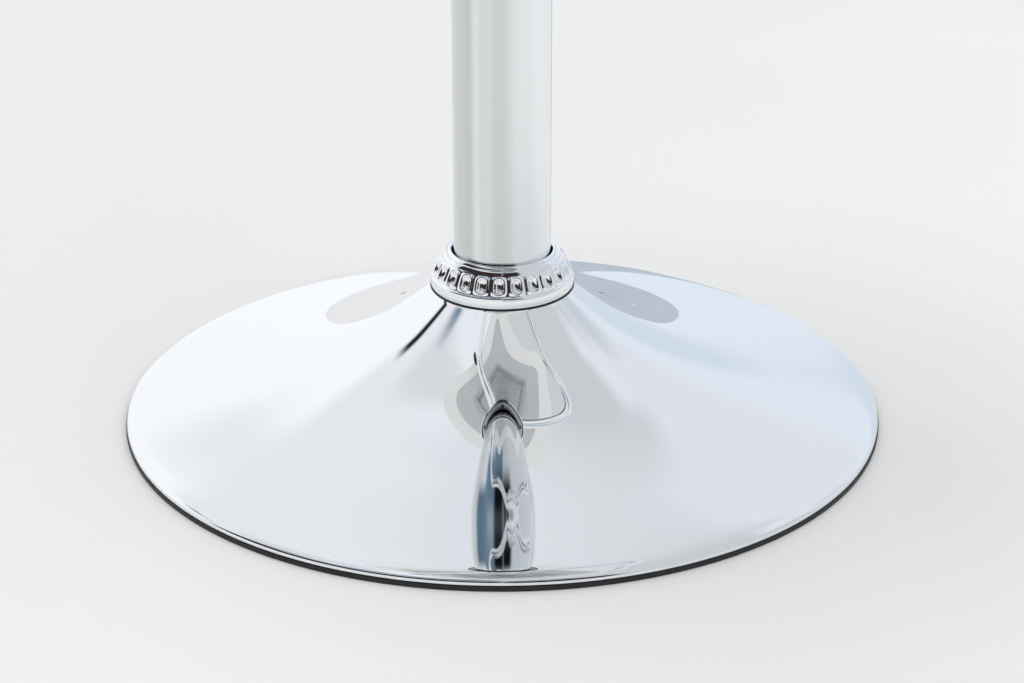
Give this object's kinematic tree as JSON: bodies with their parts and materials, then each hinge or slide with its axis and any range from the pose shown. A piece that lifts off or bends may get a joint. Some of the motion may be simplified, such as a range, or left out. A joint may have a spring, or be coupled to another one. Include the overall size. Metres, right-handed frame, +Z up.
{
  "type": "diner counter stool",
  "caption": "Counter stool on a chrome trumpet foot, with a gas-lift column, a looped footrest and a square padded seat that swivels and is raised by a lever.",
  "frame": {"origin": "centre of the foot on the floor, on the column's axis", "axes": "+Z up along the column; the front of the seat and the footrest bar face -Y; the lever comes out to -X"},
  "size_m": [0.394, 0.394, 0.7394],
  "materials": {
    "chrome": "polished chrome plate",
    "zinc_steel": "zinc-plated steel",
    "black_steel": "black powder coat",
    "black_plastic": "moulded black",
    "black_rubber": "matte black rubber",
    "pale_upholstery": "smooth off-white upholstery",
    "grey_cloth": "grey lining cloth",
    "plywood": "plain plywood"
  },
  "bodies": {
    "base": {"base_trumpet": "chrome", "base_rubber_ring": "black_rubber", "base_hub_socket": "zinc_steel", "base_hub_plate": "zinc_steel", "collar_ring": "chrome", "guide_tube": "chrome", "guide_tube_cap": "black_plastic", "guide_bush": "black_plastic", "bearing_lower_race": "zinc_steel", "bearing_ball_cage": "zinc_steel"},
    "rod": {"piston_rod": "chrome", "piston_head": "black_plastic", "bearing_upper_race": "zinc_steel", "bump_rubber": "black_rubber", "rod_washer": "zinc_steel", "rod_clip": "zinc_steel"},
    "carriage": {"gas_cylinder": "chrome", "bell_sleeve": "chrome", "bell_bush": "black_plastic", "bell_glide_ring": "black_plastic", "footrest_loop": "chrome", "footrest_grip": "chrome", "taper_socket": "black_steel", "seat_plate": "zinc_steel", "seat_bolt_1": "zinc_steel", "seat_bolt_2": "zinc_steel", "seat_bolt_3": "zinc_steel", "seat_bolt_4": "zinc_steel", "seat_underside_lining": "grey_cloth", "seat_board": "plywood", "seat_cushion": "pale_upholstery", "lever_bracket": "black_steel", "lever_pivot_pin": "zinc_steel"},
    "lever": {"lever_rod": "chrome", "lever_paddle": "black_plastic"},
    "valve": {"valve_pin": "zinc_steel"}
  },
  "joints": [
    {"name": "swivel", "type": "hinge", "parent": "base", "child": "rod", "pos_m": [0, 0, 0], "axis": [0, 0, 1], "continuous": true},
    {"name": "height", "type": "slide", "parent": "rod", "child": "carriage", "axis": [0, 0, 1], "range_m": [-0.2, 0]},
    {"name": "lever_tilt", "type": "hinge", "parent": "carriage", "child": "lever", "pos_m": [-0.03, 0, 0.6406], "axis": [0, 1, 0], "range_deg": [0, 7], "stiffness_Nm_per_rad": 3, "springref_deg": -2.86},
    {"name": "valve_press", "type": "slide", "parent": "carriage", "child": "valve", "axis": [0, 0, -1], "range_m": [0, 0.004]}
  ],
  "couplings": [
    {"joint": "valve_press", "follows": "lever_tilt", "m_per_rad": 0.032}
  ]
}
